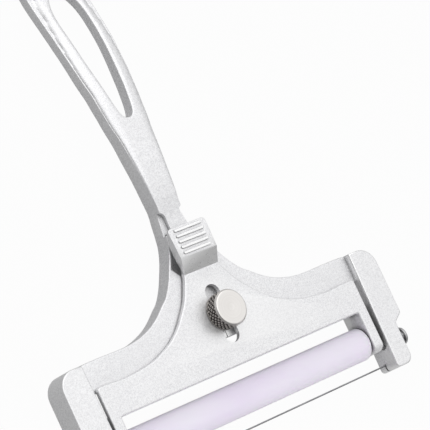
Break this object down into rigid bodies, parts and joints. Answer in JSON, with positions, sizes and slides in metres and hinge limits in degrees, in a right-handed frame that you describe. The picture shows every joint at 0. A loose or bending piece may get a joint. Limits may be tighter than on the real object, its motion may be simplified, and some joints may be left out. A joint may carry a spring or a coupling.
{
  "type": "adjustable wire slicer",
  "caption": "Hand-held wire slicer with a looped handle, a taut cutting wire between two arms, and a sliding roller carriage locked by a knurled clamp screw.",
  "frame": {"origin": "middle of the bounding box's bottom face, with the slicer lying on its back and its head level", "axes": "+X along the head, wire and roller; +Y from the wire towards the handle's end; +Z out of the face with the clamp screw"},
  "size_m": [0.115, 0.1442, 0.0181],
  "materials": {
    "casting": "fine sand-textured silver casting",
    "roller_plastic": "smooth milky white plastic with a faint lavender tint",
    "steel": "bright turned steel",
    "nickel": "warm nickel plating, turned top and knurled rim",
    "wire": "drawn stainless wire"
  },
  "bodies": {
    "frame": {"frame": "casting", "cutting_wire": "wire", "wire_screw_right": "steel", "wire_screw_left": "steel"},
    "carriage": {"carriage": "casting", "roller_axle": "steel"},
    "roller": {"roller": "roller_plastic"},
    "thumbscrew": {"thumbscrew": "nickel"}
  },
  "joints": [
    {"name": "carriage_slide", "type": "slide", "parent": "frame", "child": "carriage", "axis": [0, 1, 0], "range_m": [-0.0031, 0.0062]},
    {"name": "roller_spin", "type": "hinge", "parent": "carriage", "child": "roller", "pos_m": [0, -0.06175, 0.00825], "axis": [1, 0, 0], "continuous": true},
    {"name": "thumbscrew_turn", "type": "hinge", "parent": "frame", "child": "thumbscrew", "pos_m": [0, -0.03865, 0.01155], "axis": [0, 0, 1], "range_deg": [0, 360]}
  ]
}
